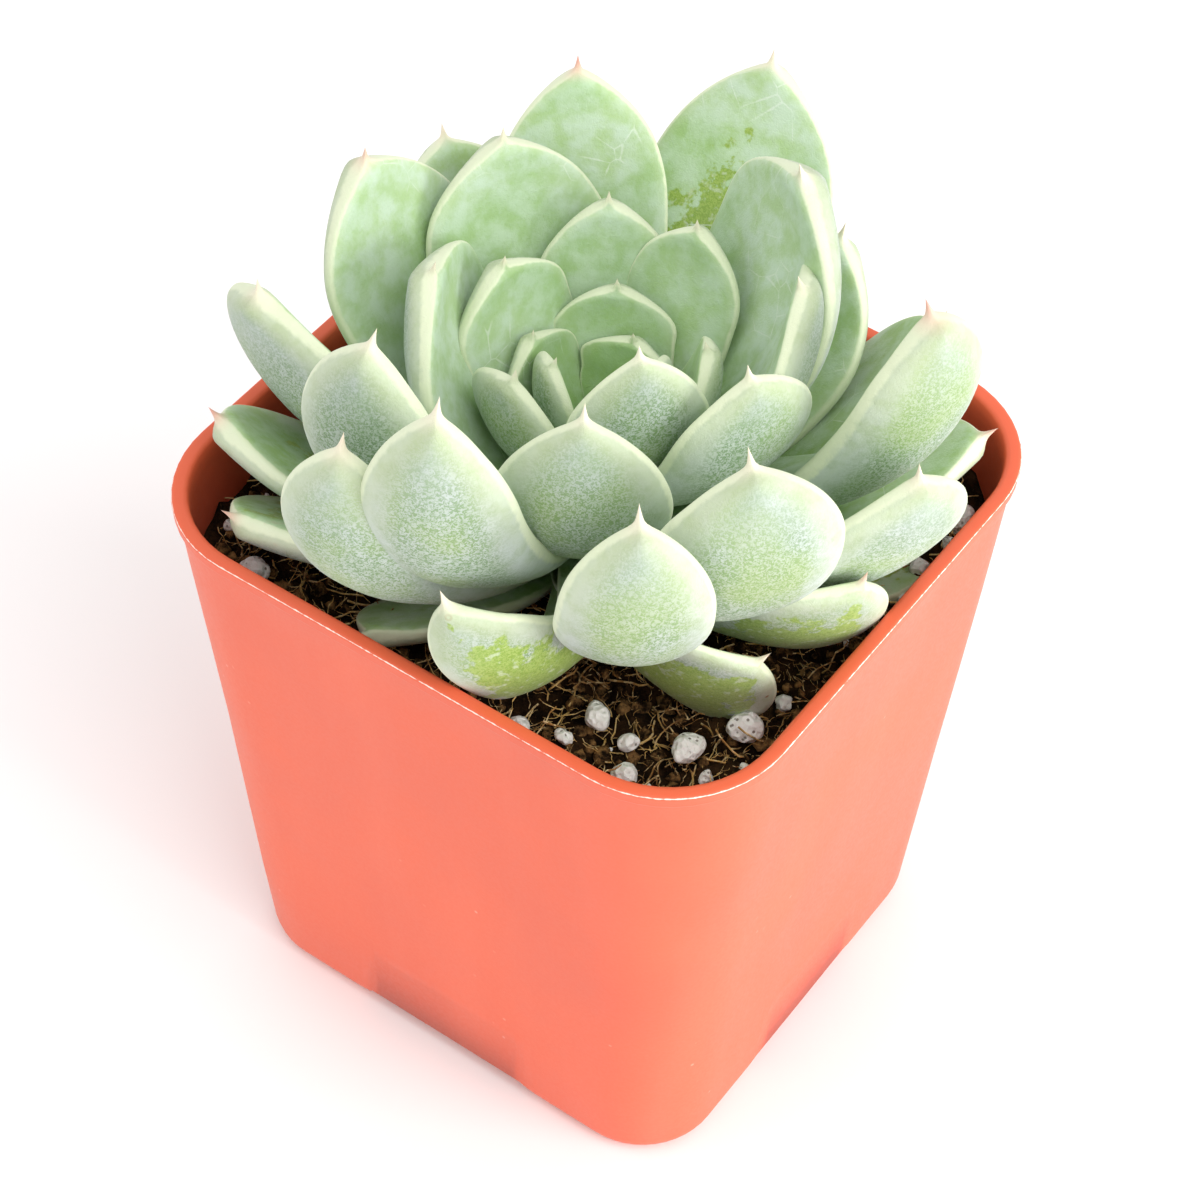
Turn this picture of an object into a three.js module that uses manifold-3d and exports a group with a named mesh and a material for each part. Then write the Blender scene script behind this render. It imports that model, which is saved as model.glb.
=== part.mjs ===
// A small rosette succulent in a square plastic nursery pot.
// Millimetres, +Z up. The origin is the middle of the pot's footprint, on the surface it stands on.
import * as THREE from 'three';
import { mergeVertices } from 'three/addons/utils/BufferGeometryUtils.js';
import Module from 'manifold-3d';

// Pot: a thin tapered square box, squeezed a little out of square by its own softness
const POT_HEIGHT = 58;
const RIM_WIDTH = 57;
const RIM_DEPTH = 53.5;
const BASE_WIDTH = 47.2;
const BASE_DEPTH = 44.3;
const RIM_CORNER = 10.3;
const BASE_CORNER = 7.2;
const BASE_EDGE = 2.2;          // rounding between the walls and the underside
const WALL = 1.0;
const FLOOR = 1.2;
const LIP_OUT = 0.35;           // how far the rim band stands proud of the wall
const LIP_TALL = 1.1;
const FOOT_RISE = 1.8;          // height of the channels between the four corner feet
const FOOT_SPAN = 14.3;         // length of each foot along the base edge
const FOOT_SLOPE = 1.4;         // how far each foot's ends slope outwards
const DRAIN_RADIUS = 2.6;
const DRAIN_SPACING = 12;       // from the middle hole to each of the other four
const CORNER_STEPS = 7;

// Soil
const SOIL_BELOW_RIM = 7;
const SOIL_DISH = 3.0;          // how much lower the soil lies under the plant
const SOIL_BUMP = 0.55;
const SOIL_RINGS = 9;
const LYING_AGE = 0.75;         // leaves older than this may press into the soil
const CLEARANCE = 0.3;          // gap kept between pieces that touch

// Stem
const STEM_RADIUS = 2.4;
const STEM_OVER_RIM = 1.5;       // how far the stock's top stands above the rim
const STEM_TOP = POT_HEIGHT + STEM_OVER_RIM;
const ROOT_DEPTH = 14;          // how far the stock goes down into the soil

// Leaves: size and opening run smoothly from the heart to the lowest row
const GOLDEN_ANGLE = 137.5;
const HEART_AZIMUTH = 12.5;     // direction of the innermost leaf
const SPIRAL_LENGTH = 50;       // places on the spiral from the heart to the oldest leaf
const MISSING = [9, 18, 19, 21, 27, 29, 32];   // places with no leaf left
const LAST_PLACE = 36;          // below this one the leaves of the lowest row lie as the pot lets them
// Leaves that grew off the spiral: degrees anticlockwise from above, and places older or younger
const STRAYED = {
  5: [-16, 0], 6: [-12, 0], 7: [-12, 0], 8: [0, 3], 10: [8, 0], 11: [0, 3], 12: [12, 0], 13: [6, 0], 14: [14, 8],
  15: [14, 0], 16: [4, 6], 17: [8, 1], 20: [8, 0], 22: [6, 0], 23: [-18, 0], 25: [6, 0], 26: [-16, 0],
  28: [8, 0], 30: [0, 3], 31: [6, 1], 34: [-12, 0], 35: [8, -3], 36: [2, -5],
};
// The lowest row: direction, age, sideways swing and share of full length, from the upper to the lower
const LOWEST_ROW = [
  [54, 0.8, 0, 1], [342, 0.78, 40, 1], [217, 0.81, 0, 1], [135, 0.8, 0, 1], [300, 0.84, -90, 0.95],
  [38, 0.89, 0, 1], [165, 0.89, 0, 1], [314, 0.88, 75, 0.8],  [230, 0.91, 0, 1],
  [24, 0.95, 0, 0.95], [254, 1, 0, 0.85],
];
const YOUNG_LENGTH = 9.5;
const GROWN_LENGTH = 37;
const OLD_LENGTH = 27;
const GROWN_AGE = 0.56;
const YOUNG_WIDTH = 8;
const GROWN_WIDTH = 17.5;
const OLD_WIDTH = 13.5;
const THICK_TO_WIDTH = 0.19;
const LEAF_GAP = 0.15;         // least space left between one leaf and the next
const HEART_OVER_RIM = 3.5;      // where the youngest leaf grows from the stock
const FOOT_DROP = 9.5;          // how much lower the oldest one grows
const LEAF_FOOT_WIDTH = 1.4;    // where the leaf grows from the stem
const LEAF_FOOT_THICK = 0.5;
const TIP_SPIKE = 0.7;
const WIDEST_AT = 0.6;
const OPEN_SIDE = 315;          // on this side the inner leaves lie more open and curve in more
const OPEN_SIDE_FOOT = 24;
const OPEN_SIDE_TIP = 8;
const OPEN_SIDE_LENGTH = 0.22;
const OPEN_SIDE_NARROW = 0.45;
const TIP_OVER_RIM = 3;        // tips lower than this above the rim stay inside the wall
const LEAF_STATIONS = [0, 0.11, 0.24, 0.38, 0.51, 0.63, 0.75, 0.86, 0.94, 0.985];
const LEAF_SIDES = 12;
const FLATTEST = 95;            // steepest angle from upright at a leaf's foot
const OPEN_FOOT = 1.5;          // degrees a leaf's foot and tip open at a time until it clears the inner ones
const OPEN_TIP = 0.8;
const OPEN_DROP = 0.1;         // and this much lower its foot sits each time
const OPEN_LIMIT = 30;          // a leaf that doesn't clear by now has no room and is left out
const TRIM_STEP = 0.5;
const TOUCHING = 1e-6;

const rad = THREE.MathUtils.degToRad;
const wasm = await Module();
wasm.setup();

const plastic = new THREE.MeshStandardMaterial({ color: 0xf0806a, roughness: 0.42 });
const peat = new THREE.MeshStandardMaterial({ color: 0x2b211b, roughness: 1.0 });
const perlite = new THREE.MeshStandardMaterial({ color: 0xe9e6df, roughness: 0.9 });
const bark = new THREE.MeshStandardMaterial({ color: 0x7c8a5c, roughness: 0.8 });
const leafSkin = new THREE.MeshStandardMaterial({ color: 0xb9cfb4, roughness: 0.6 });

// ---- meshes and solids ----

function geometryOf(positions, triangles) {
  const geometry = new THREE.BufferGeometry();
  geometry.setAttribute('position', new THREE.Float32BufferAttribute(positions, 3));
  geometry.setIndex(triangles);
  geometry.computeVertexNormals();
  return geometry;
}

function solidOf(geometry) {
  const bare = geometry.clone();
  bare.deleteAttribute('normal');
  bare.deleteAttribute('uv');
  const merged = mergeVertices(bare, 1e-5);
  return new wasm.Manifold(new wasm.Mesh({
    numProp: 3,
    vertProperties: new Float32Array(merged.attributes.position.array),
    triVerts: new Uint32Array(merged.index.array),
  }));
}

function geometryFrom(solid) {
  const mesh = solid.getMesh();
  return geometryOf(Array.from(mesh.vertProperties), Array.from(mesh.triVerts));
}

// Closes a stack of rings of equal length with a point at each end
function closeRings(rings, firstPoint, lastPoint) {
  const count = rings[0].length;
  const positions = [...firstPoint];
  rings.forEach((ring) => ring.forEach((p) => positions.push(...p)));
  positions.push(...lastPoint);
  const last = rings.length * count + 1;
  const at = (ring, i) => 1 + ring * count + (i % count);
  const triangles = [];
  for (let i = 0; i < count; i += 1) {
    triangles.push(0, at(0, i + 1), at(0, i));
    for (let r = 0; r + 1 < rings.length; r += 1) {
      triangles.push(at(r, i), at(r, i + 1), at(r + 1, i + 1));
      triangles.push(at(r, i), at(r + 1, i + 1), at(r + 1, i));
    }
    triangles.push(at(rings.length - 1, i), at(rings.length - 1, i + 1), last);
  }
  return geometryOf(positions, triangles);
}

// ---- pot ----

// One rounded rectangle of the taper, at height z and this far inside the outer wall
function potRing(z, inset) {
  const up = z / POT_HEIGHT;
  const halfX = THREE.MathUtils.lerp(BASE_WIDTH, RIM_WIDTH - 2 * LIP_OUT, up) / 2 - inset;
  const halfY = THREE.MathUtils.lerp(BASE_DEPTH, RIM_DEPTH - 2 * LIP_OUT, up) / 2 - inset;
  const corner = Math.max(THREE.MathUtils.lerp(BASE_CORNER, RIM_CORNER, up) - inset, 1);
  const ring = [];
  for (let quarter = 0; quarter < 4; quarter += 1) {
    const sx = quarter === 0 || quarter === 3 ? 1 : -1;
    const sy = quarter < 2 ? 1 : -1;
    for (let i = 0; i <= CORNER_STEPS; i += 1) {
      const angle = (quarter + i / CORNER_STEPS) * Math.PI / 2;
      const x = sx * (halfX - corner) + corner * Math.cos(angle);
      const y = sy * (halfY - corner) + corner * Math.sin(angle);
      ring.push([x, y, z]);
    }
  }
  return ring;
}

function loft(levels) {
  const rings = levels.map(([z, inset]) => potRing(z, inset));
  const ends = [levels[0][0], levels[levels.length - 1][0]];
  return closeRings(rings, [0, 0, ends[0]], [0, 0, ends[1]]);
}

function potOutside() {
  const roundEdge = [];
  for (let i = 0; i <= 4; i += 1) {
    const angle = rad(90 * i / 4);
    roundEdge.push([BASE_EDGE * (1 - Math.sin(angle)), BASE_EDGE * (1 - Math.cos(angle))]);
  }
  roundEdge.reverse();
  const lipFoot = POT_HEIGHT - LIP_TALL;
  return [
    ...roundEdge,
    [lipFoot - LIP_OUT, 0],
    [lipFoot, -LIP_OUT],
    [POT_HEIGHT - 0.2, -LIP_OUT],
    [POT_HEIGHT, -LIP_OUT + 0.2],
  ];
}

function channelCut(alongX) {
  const width = alongX ? BASE_DEPTH : BASE_WIDTH;
  const half = width / 2 - FOOT_SPAN;
  const reach = RIM_WIDTH;
  const profile = new THREE.Shape();
  profile.moveTo(-half, -1);
  profile.lineTo(half, -1);
  profile.lineTo(half, 0);
  profile.lineTo(half - FOOT_SLOPE, FOOT_RISE);
  profile.lineTo(-half + FOOT_SLOPE, FOOT_RISE);
  profile.lineTo(-half, 0);
  profile.closePath();
  const geometry = new THREE.ExtrudeGeometry(profile, { depth: reach, bevelEnabled: false });
  geometry.translate(0, 0, -reach / 2);
  geometry.rotateX(Math.PI / 2);
  if (alongX) geometry.rotateZ(Math.PI / 2);
  return solidOf(geometry);
}

function drainHole(x, y) {
  const geometry = new THREE.CylinderGeometry(DRAIN_RADIUS, DRAIN_RADIUS, 4 * (FLOOR + FOOT_RISE), 20);
  geometry.rotateX(Math.PI / 2);
  geometry.translate(x, y, 0);
  return solidOf(geometry);
}

function makePot() {
  const floorTop = FOOT_RISE + FLOOR;
  const cavity = loft([
    [floorTop, WALL + 1.2],
    [floorTop + 1.2, WALL],
    [POT_HEIGHT - 0.3, WALL],
    [POT_HEIGHT + 1, WALL - 0.3],
  ]);
  let pot = solidOf(loft(potOutside())).subtract(solidOf(cavity));
  pot = pot.subtract(channelCut(true)).subtract(channelCut(false));
  const holes = [[0, 0], [1, 0], [0, 1], [-1, 0], [0, -1]];
  for (const [x, y] of holes) pot = pot.subtract(drainHole(x * DRAIN_SPACING, y * DRAIN_SPACING));
  return geometryFrom(pot);
}

// ---- soil, stock and perlite ----

function soilHeight(x, y, share) {
  const level = POT_HEIGHT - SOIL_BELOW_RIM - SOIL_DISH * (1 - share * share);
  const bumps = Math.sin(0.71 * x + 0.4) * Math.cos(0.63 * y) + 0.7 * Math.sin(1.27 * y - 0.58 * x + 1.9);
  return level + SOIL_BUMP * bumps;
}

function makeSoil(hollows) {
  const low = FOOT_RISE + FLOOR + CLEARANCE;
  const inset = WALL + CLEARANCE;
  const edgeHeight = POT_HEIGHT - SOIL_BELOW_RIM;
  const rings = [potRing(low, inset + 1.2), potRing(low + 1.2, inset)];
  const rim = potRing(edgeHeight, inset);
  for (let i = SOIL_RINGS; i >= 1; i -= 1) {
    const share = i / SOIL_RINGS;
    rings.push(rim.map(([x, y]) => [x * share, y * share, soilHeight(x * share, y * share, share)]));
  }
  let soil = solidOf(closeRings(rings, [0, 0, low], [0, 0, soilHeight(0, 0, 0)]));
  for (const hollow of hollows) soil = soil.subtract(hollow);
  return geometryFrom(soil);
}

function makeStem(grow) {
  const soilTop = POT_HEIGHT - SOIL_BELOW_RIM;
  const profile = [
    [0, soilTop - ROOT_DEPTH],
    [0.35, soilTop - ROOT_DEPTH + 0.6],
    [0.5, soilTop - 6],
    [1, soilTop - 1],
    [1, STEM_TOP - 3],
    [0.7, STEM_TOP - 1],
    [0.3, STEM_TOP],
    [0, STEM_TOP],
  ];
  const points = profile.map(([share, z], i) => {
    const radius = share === 0 ? 0 : share * STEM_RADIUS + grow;
    const shift = i === 0 ? -grow : 0;
    return new THREE.Vector2(radius, z + shift);
  });
  const geometry = new THREE.LatheGeometry(points, 14);
  geometry.rotateX(Math.PI / 2);
  return geometry;
}

// A rounded lump, longest along its own x, half sunk in the soil
function makeGrain({ x, y, size, turn }, grow) {
  const geometry = mergeVertices(stripped(new THREE.IcosahedronGeometry(1, 2)), 1e-5);
  const position = geometry.attributes.position;
  for (let i = 0; i < position.count; i += 1) {
    const p = new THREE.Vector3().fromBufferAttribute(position, i);
    const lump = 1 + 0.08 * Math.sin(3.1 * p.x + turn) * Math.cos(2.7 * p.y - turn) + 0.05 * Math.sin(4 * p.z + x);
    p.multiplyScalar(lump);
    position.setXYZ(i, p.x * (size / 2 + grow), p.y * (0.42 * size + grow), p.z * (0.38 * size + grow));
  }
  geometry.rotateZ(rad(turn));
  geometry.translate(x, y, POT_HEIGHT - SOIL_BELOW_RIM + 0.12 * size);
  geometry.computeVertexNormals();
  return geometry;
}

function stripped(geometry) {
  geometry.deleteAttribute('normal');
  geometry.deleteAttribute('uv');
  return geometry;
}

// Where the larger grains lie, chosen by eye
const GRAINS = [
  { x: 22, y: -11, size: 3.0, turn: 30 },
  { x: 19.5, y: -15.5, size: 2.8, turn: 80 },
  { x: 17, y: -20.5, size: 2.3, turn: 10 },
  { x: 12, y: -17, size: 2.4, turn: 150 },
  { x: 15.4, y: -17.6, size: 1.8, turn: 60 },
  { x: -19.5, y: -21, size: 2.5, turn: 15 },
  { x: 24, y: 18, size: 2.8, turn: 100 },
  { x: 24, y: 11.5, size: 1.8, turn: 40 },
  { x: 7.5, y: -21.3, size: 1.8, turn: 5 },
];

// ---- leaves ----

// Half width of a leaf as a share of its widest, with a narrow foot and a pointed arch at the tip
function widthShare(s) {
  if (s < WIDEST_AT) return Math.sin(Math.PI / 2 * s / WIDEST_AT) ** 1.5;
  return Math.cos(Math.PI / 2 * (s - WIDEST_AT) / (1 - WIDEST_AT)) ** 0.85;
}

function leafRings(leaf, grow) {
  const { azimuth, footAngle, tipAngle, length, width, roll, cup } = leaf;
  const thick = width * THICK_TO_WIDTH;
  const up = new THREE.Vector3(0, 0, 1);
  const out = new THREE.Vector3(1, 0, 0).applyAxisAngle(up, rad(azimuth));
  const foot = out.clone().multiplyScalar(leaf.footRadius - grow * 0.5).addScaledVector(up, leaf.footHeight);
  const point = out.clone().multiplyScalar(leaf.footRadius).addScaledVector(up, leaf.footHeight);
  const rings = [];
  let tangent;
  let before = 0;
  for (const s of LEAF_STATIONS) {
    const middle = rad(THREE.MathUtils.lerp(footAngle, tipAngle, (s + before) / 2));
    const step = (s - before) * length;
    out.set(1, 0, 0).applyAxisAngle(up, rad(azimuth + leaf.swing * s * s));
    const side = new THREE.Vector3(-out.y, out.x, 0);
    point.addScaledVector(out, Math.sin(middle) * step).addScaledVector(up, Math.cos(middle) * step);
    before = s;
    const angle = rad(THREE.MathUtils.lerp(footAngle, tipAngle, s));
    tangent = out.clone().multiplyScalar(Math.sin(angle)).addScaledVector(up, Math.cos(angle));
    const normal = out.clone().multiplyScalar(-Math.cos(angle)).addScaledVector(up, Math.sin(angle));
    const twist = rad(roll) * Math.min(1, s / 0.4);
    const across = side.clone().multiplyScalar(Math.cos(twist)).addScaledVector(normal, Math.sin(twist));
    const face = normal.clone().multiplyScalar(Math.cos(twist)).addScaledVector(side, -Math.sin(twist));
    const share = widthShare(s);
    const halfWidth = Math.max(width / 2 * share, LEAF_FOOT_WIDTH / 2 * Math.min(1, (1 - s) * 4)) + grow;
    const depth = Math.max(thick * share ** 1.3, LEAF_FOOT_THICK * Math.min(1, (1 - s) * 4));
    const ring = [];
    for (let i = 0; i < LEAF_SIDES; i += 1) {
      const around = 2 * Math.PI * i / LEAF_SIDES;
      const c = Math.cos(around);
      const top = Math.sin(around) >= 0;
      const rise = top ? 0.3 * depth * Math.sin(around) + grow * Math.sin(around)
        : -0.7 * depth * (1 - Math.abs(c) ** 1.4) + grow * Math.sin(around);
      const edge = cup * halfWidth * c * c;
      ring.push(point.clone().addScaledVector(across, halfWidth * c).addScaledVector(face, rise + edge).toArray());
    }
    rings.push(ring);
  }
  const rest = (1 - LEAF_STATIONS[LEAF_STATIONS.length - 1]) * length + TIP_SPIKE;
  const tip = point.clone().addScaledVector(tangent, rest + grow);
  return { rings, foot: foot.toArray(), tip: tip.toArray() };
}

function leafGeometry(leaf, grow = 0) {
  const { rings, foot, tip } = leafRings(leaf, grow);
  return closeRings(rings, foot, tip);
}

// The leaf at one place on the spiral, 0 at the heart
function spiralLeaf(place) {
  const [turn, older] = STRAYED[place] ?? [0, 0];
  return leafAt((place + older) / SPIRAL_LENGTH, HEART_AZIMUTH - GOLDEN_ANGLE * place + turn);
}

function leafAt(age, azimuth, swing = 0, lengthShare = 1) {
  const facing = Math.cos(rad(azimuth - OPEN_SIDE));
  const grown = Math.sin(Math.PI / 2 * Math.min(1, age / GROWN_AGE)) ** 1.4;
  const withered = Math.max(0, age - GROWN_AGE) / (1 - GROWN_AGE);
  const fullLength = YOUNG_LENGTH + (GROWN_LENGTH - YOUNG_LENGTH) * grown;
  const fullWidth = YOUNG_WIDTH + (GROWN_WIDTH - YOUNG_WIDTH) * grown - (GROWN_WIDTH - OLD_WIDTH) * withered;
  const length = (fullLength - (GROWN_LENGTH - OLD_LENGTH) * withered) * (1 + OPEN_SIDE_LENGTH * (1 - age) * facing);
  return {
    azimuth,
    footAngle: Math.min(FLATTEST, 38 + 70 * age + OPEN_SIDE_FOOT * Math.max(0, facing)),
    tipAngle: -10 + 88 * age ** 3 - OPEN_SIDE_TIP * (1 - age) * Math.max(0, facing),
    age,
    length: length * lengthShare,
    width: fullWidth * (1 - OPEN_SIDE_NARROW * age * Math.max(0, facing)),
    swing,
    roll: 0,
    cup: 0.24 - 0.12 * age,
    footRadius: 0.9 + 2.4 * Math.sqrt(age),
    footHeight: POT_HEIGHT + HEART_OVER_RIM - FOOT_DROP * age,
  };
}

// True where the leaf's tip reaches past the pot's rim, or into its wall
function overhangs(leaf) {
  const { tip } = leafRings(leaf, 0);
  const inset = tip[2] < POT_HEIGHT + TIP_OVER_RIM ? WALL + 3 * CLEARANCE : 0;
  return Math.abs(tip[0]) > RIM_WIDTH / 2 - inset || Math.abs(tip[1]) > RIM_DEPTH / 2 - inset;
}

// Opens the leaf, and lowers its foot, until it clears every leaf already placed
function settle(leaf, placed) {
  for (let opened = 0; opened <= OPEN_LIMIT; opened += 1) {
    const tried = {
      ...leaf,
      footAngle: Math.min(FLATTEST, leaf.footAngle + OPEN_FOOT * opened),
      tipAngle: leaf.tipAngle + OPEN_TIP * opened,
      footHeight: leaf.footHeight - OPEN_DROP * opened,
    };
    while (overhangs(tried)) tried.length -= TRIM_STEP;
    const swollen = solidOf(leafGeometry(tried, LEAF_GAP));
    if (placed.every((other) => swollen.intersect(other).volume() < TOUCHING)) return tried;
  }
  return null;
}

const plant = new THREE.Group();

function add(name, geometry, material) {
  const mesh = new THREE.Mesh(geometry, material);
  mesh.name = name;
  plant.add(mesh);
}

const leaves = [];
for (let place = 0; place <= LAST_PLACE; place += 1) {
  if (!MISSING.includes(place)) leaves.push(spiralLeaf(place));
}
for (const [azimuth, age, swing, share] of LOWEST_ROW) leaves.push(leafAt(age, azimuth, swing, share));
leaves.sort((a, b) => a.age - b.age);

const placed = [];
const pressed = [];             // room in the soil for the leaves that lie on it
for (const leaf of leaves) {
  const settled = settle(leaf, placed);
  if (!settled) continue;
  placed.push(solidOf(leafGeometry(settled)));
  if (settled.age > LYING_AGE) pressed.push(solidOf(leafGeometry(settled, CLEARANCE)));
  add(`leaf_${String(placed.length).padStart(2, '0')}`, leafGeometry(settled), leafSkin);
}

add('pot', makePot(), plastic);
add('stem', makeStem(0), bark);
const sockets = GRAINS.map((grain) => solidOf(makeGrain(grain, CLEARANCE)));
const hollows = [solidOf(makeStem(CLEARANCE)), ...sockets, ...pressed];
add('soil', makeSoil(hollows), peat);
GRAINS.forEach((grain, i) => add(`perlite_${i + 1}`, makeGrain(grain, 0), perlite));

export default plant;
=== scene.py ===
import bisect
import math
import random

import bmesh
import bpy
from mathutils import Matrix, Vector, noise


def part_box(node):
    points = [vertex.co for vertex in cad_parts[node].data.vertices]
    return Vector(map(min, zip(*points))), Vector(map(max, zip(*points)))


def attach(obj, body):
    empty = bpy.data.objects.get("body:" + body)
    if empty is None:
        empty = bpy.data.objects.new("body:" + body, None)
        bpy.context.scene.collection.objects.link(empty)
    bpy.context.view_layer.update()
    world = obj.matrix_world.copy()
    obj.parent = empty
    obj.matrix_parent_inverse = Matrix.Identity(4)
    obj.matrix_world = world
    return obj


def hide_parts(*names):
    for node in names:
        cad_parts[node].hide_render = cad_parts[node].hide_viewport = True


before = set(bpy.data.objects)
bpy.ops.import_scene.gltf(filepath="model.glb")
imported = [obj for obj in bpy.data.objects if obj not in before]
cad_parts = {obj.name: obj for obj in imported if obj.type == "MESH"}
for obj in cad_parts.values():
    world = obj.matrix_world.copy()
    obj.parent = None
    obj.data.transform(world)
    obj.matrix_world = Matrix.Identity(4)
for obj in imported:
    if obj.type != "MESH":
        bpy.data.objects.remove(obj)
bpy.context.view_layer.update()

MM = 0.001

# ---- sizes, as in the part's source, in millimetres ----

POT_HEIGHT = 58
RIM_WIDTH = 57
RIM_DEPTH = 53.5
BASE_WIDTH = 47.2
BASE_DEPTH = 44.3
RIM_CORNER = 10.3
BASE_CORNER = 7.2
BASE_EDGE = 2.2
WALL = 1.0
FLOOR = 1.2
LIP_OUT = 0.35
LIP_TALL = 1.1
FOOT_RISE = 1.8
FOOT_SPAN = 14.3
FOOT_SLOPE = 1.4
FOOT_WIDTH = 6.5            # how far the feet reach in under the pot
DRAIN_RADIUS = 2.6
DRAIN_SPACING = 12
SOIL_BELOW_RIM = 7
SOIL_DISH = 3.0
SOIL_BUMP = 0.55
CLEARANCE = 0.3

CORNER_STEPS = 12
SIDE_STEPS = 40
DRAIN_STEPS = 28

CAMERA_AZIMUTH = 34.37      # degrees
CAMERA_ELEVATION = 48.77
CAMERA_ROLL = 1.53
CAMERA_TARGET = (2.74, -3.59, 46.6)
CAMERA_DISTANCE = 273.5
CAMERA_LENS = 99

SOIL_RINGS = 46
STOCK_CLEAR = 7             # no crumbs closer to the middle than this
CORNER_CLEAR = 8
CRUMBS = 900
FIBRES = 1300
SHREDS = 2600
DUST_GRAINS = 26

CAD_ROUND = 12              # faces round a leaf's CAD solid
LEAF_ROUND = 24             # faces round a finished leaf and along it
LEAF_ALONG = 46
LEAF_WIDEST = 0.62
LEAF_FOOT_SHARE = 0.50      # the foot's width as a share of the blade's
SPIKE_LENGTH = 2.3
SPIKE_HALF = 0.62
EDGE_WAVE = 0.22
PLUMP = 1.4
OPEN_SIDE = 315
OPEN_LOWER = 14             # degrees that leaves on the open side lie lower, and curl back in
OPEN_CURL = 44
SIDE_CURL = 20
SIDE_ROLL = 34              # leaves beside the open side turn their backs to it


# ---- camera, light and floor ----


def studio_camera():
    """A long lens that looks down on the front corner of the pot."""
    azimuth, elevation, roll = (
        math.radians(angle) for angle in (CAMERA_AZIMUTH, CAMERA_ELEVATION, CAMERA_ROLL)
    )
    back = Vector((
        math.sin(azimuth) * math.cos(elevation),
        -math.cos(azimuth) * math.cos(elevation),
        math.sin(elevation),
    ))
    right = Vector((0, 0, 1)).cross(back).normalized()
    up = back.cross(right)
    rolled_right = math.cos(roll) * right + math.sin(roll) * up
    rolled_up = math.cos(roll) * up - math.sin(roll) * right
    turn = Matrix((rolled_right, rolled_up, back)).transposed().to_4x4()
    target = Vector(CAMERA_TARGET) * MM
    data = bpy.data.cameras.new("studio_camera")
    data.sensor_width = 36
    data.lens = CAMERA_LENS
    data.clip_start = 0.01
    camera = bpy.data.objects.new("studio_camera", data)
    camera.matrix_world = Matrix.Translation(target + back * CAMERA_DISTANCE * MM) @ turn
    bpy.context.scene.collection.objects.link(camera)
    bpy.context.scene.camera = camera


def soft_box(name, place, size, power, colour):
    """A square area light that faces the plant. Place and size are in metres, power in watts."""
    data = bpy.data.lights.new(name, "AREA")
    data.size = size
    data.energy = power
    data.color = colour
    light = bpy.data.objects.new(name, data)
    light.location = place
    aim = Vector((0, 0, 0.05)) - light.location
    light.rotation_euler = aim.to_track_quat("-Z", "Y").to_euler()
    bpy.context.scene.collection.objects.link(light)


def studio_light():
    world = bpy.data.worlds.new("white_room")
    bpy.context.scene.world = world
    world.use_nodes = True
    background = world.node_tree.nodes["Background"]
    background.inputs["Color"].default_value = (1.0, 1.0, 1.0, 1.0)
    background.inputs["Strength"].default_value = 0.95
    soft_box("key_box", (0.42, -0.18, 0.62), 0.35, 1.4, (1.0, 0.99, 0.97))
    soft_box("side_box", (0.50, 0.05, 0.16), 0.30, 2.0, (1.0, 0.99, 0.98))
    soft_box("fill_box", (-0.45, -0.35, 0.40), 0.50, 0.35, (0.97, 0.99, 1.0))
    bpy.context.scene.view_settings.view_transform = "Standard"


def studio_floor():
    bm = bmesh.new()
    bmesh.ops.create_grid(bm, x_segments=8, y_segments=8, size=3.0)
    floor = finished("studio_floor", bm, smooth=False)
    floor.data.materials.append(floor_paint())


# ---- node helpers ----


def new_material(name):
    material = bpy.data.materials.new(name)
    material.use_nodes = True
    tree = material.node_tree
    return material, tree, tree.nodes["Principled BSDF"]


def feed(tree, socket, value):
    """Sets a socket, or links it where the value is another node's output."""
    if isinstance(value, bpy.types.NodeSocket):
        tree.links.new(value, socket)
    else:
        socket.default_value = value


def place_on(tree):
    return tree.nodes.new("ShaderNodeTexCoord").outputs["Object"]


def trait(tree, name):
    """One of the values that a piece's mesh carries, such as how far along a leaf a point is."""
    item = tree.nodes.new("ShaderNodeAttribute")
    item.attribute_name = name
    return item.outputs["Fac"]


def grain(tree, place, size, detail=3.0, rough=0.5, distortion=0.0, stretch=None):
    """A noise whose lumps are about this many millimetres across."""
    if stretch:
        mapping = tree.nodes.new("ShaderNodeMapping")
        mapping.inputs["Scale"].default_value = stretch
        tree.links.new(place, mapping.inputs["Vector"])
        place = mapping.outputs["Vector"]
    item = tree.nodes.new("ShaderNodeTexNoise")
    item.inputs["Scale"].default_value = 1.0 / (size * MM)
    item.inputs["Detail"].default_value = detail
    item.inputs["Roughness"].default_value = rough
    item.inputs["Distortion"].default_value = distortion
    tree.links.new(place, item.inputs["Vector"])
    return item.outputs["Fac"]


def cells(tree, place, size, feature="F1"):
    item = tree.nodes.new("ShaderNodeTexVoronoi")
    item.feature = feature
    item.inputs["Scale"].default_value = 1.0 / (size * MM)
    tree.links.new(place, item.inputs["Vector"])
    return item.outputs["Distance"]


def maths(tree, operation, a, b=0.0, clamp=False):
    item = tree.nodes.new("ShaderNodeMath")
    item.operation = operation
    item.use_clamp = clamp
    feed(tree, item.inputs[0], a)
    feed(tree, item.inputs[1], b)
    return item.outputs[0]


def step(tree, value, low, high, top=1.0):
    """Rises smoothly from 0 to top as the value goes from low to high, or falls where low is the larger."""
    item = tree.nodes.new("ShaderNodeMapRange")
    item.interpolation_type = "SMOOTHSTEP"
    falls = low > high
    item.inputs["From Min"].default_value = min(low, high)
    item.inputs["From Max"].default_value = max(low, high)
    item.inputs["To Min"].default_value = top if falls else 0.0
    item.inputs["To Max"].default_value = 0.0 if falls else top
    tree.links.new(value, item.inputs["Value"])
    return item.outputs["Result"]


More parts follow.
